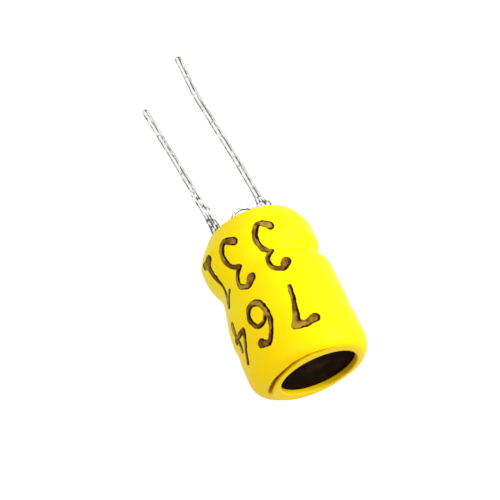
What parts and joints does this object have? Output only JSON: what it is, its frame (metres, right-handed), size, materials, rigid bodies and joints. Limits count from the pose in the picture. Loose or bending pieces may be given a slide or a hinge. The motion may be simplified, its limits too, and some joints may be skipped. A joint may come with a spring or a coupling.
{
  "type": "drum core inductor",
  "caption": "Radial drum core inductor in a yellow shrink sleeve, its dark ferrite end bare and its tinned leads below.",
  "frame": {"origin": "centre of the sleeve's flat rim at the lead end, on the plane that faces the circuit board", "axes": "+Z from the board through the body to the bare ferrite end, so the leads run down -Z; +X towards the long lead"},
  "size_m": [0.0092, 0.0092, 0.0296],
  "materials": {
    "ferrite": "matt",
    "enamelled_wire": "gloss",
    "tinned_wire": "satin",
    "epoxy": "satin",
    "solder": "satin",
    "sleeve": "satin"
  },
  "bodies": {
    "root": {"drum_core": "ferrite", "winding": "enamelled_wire", "long_lead": "tinned_wire", "short_lead": "tinned_wire", "long_lead_glue": "epoxy", "short_lead_glue": "epoxy", "long_lead_solder": "solder", "short_lead_solder": "solder", "shrink_sleeve": "sleeve"}
  },
  "joints": []
}
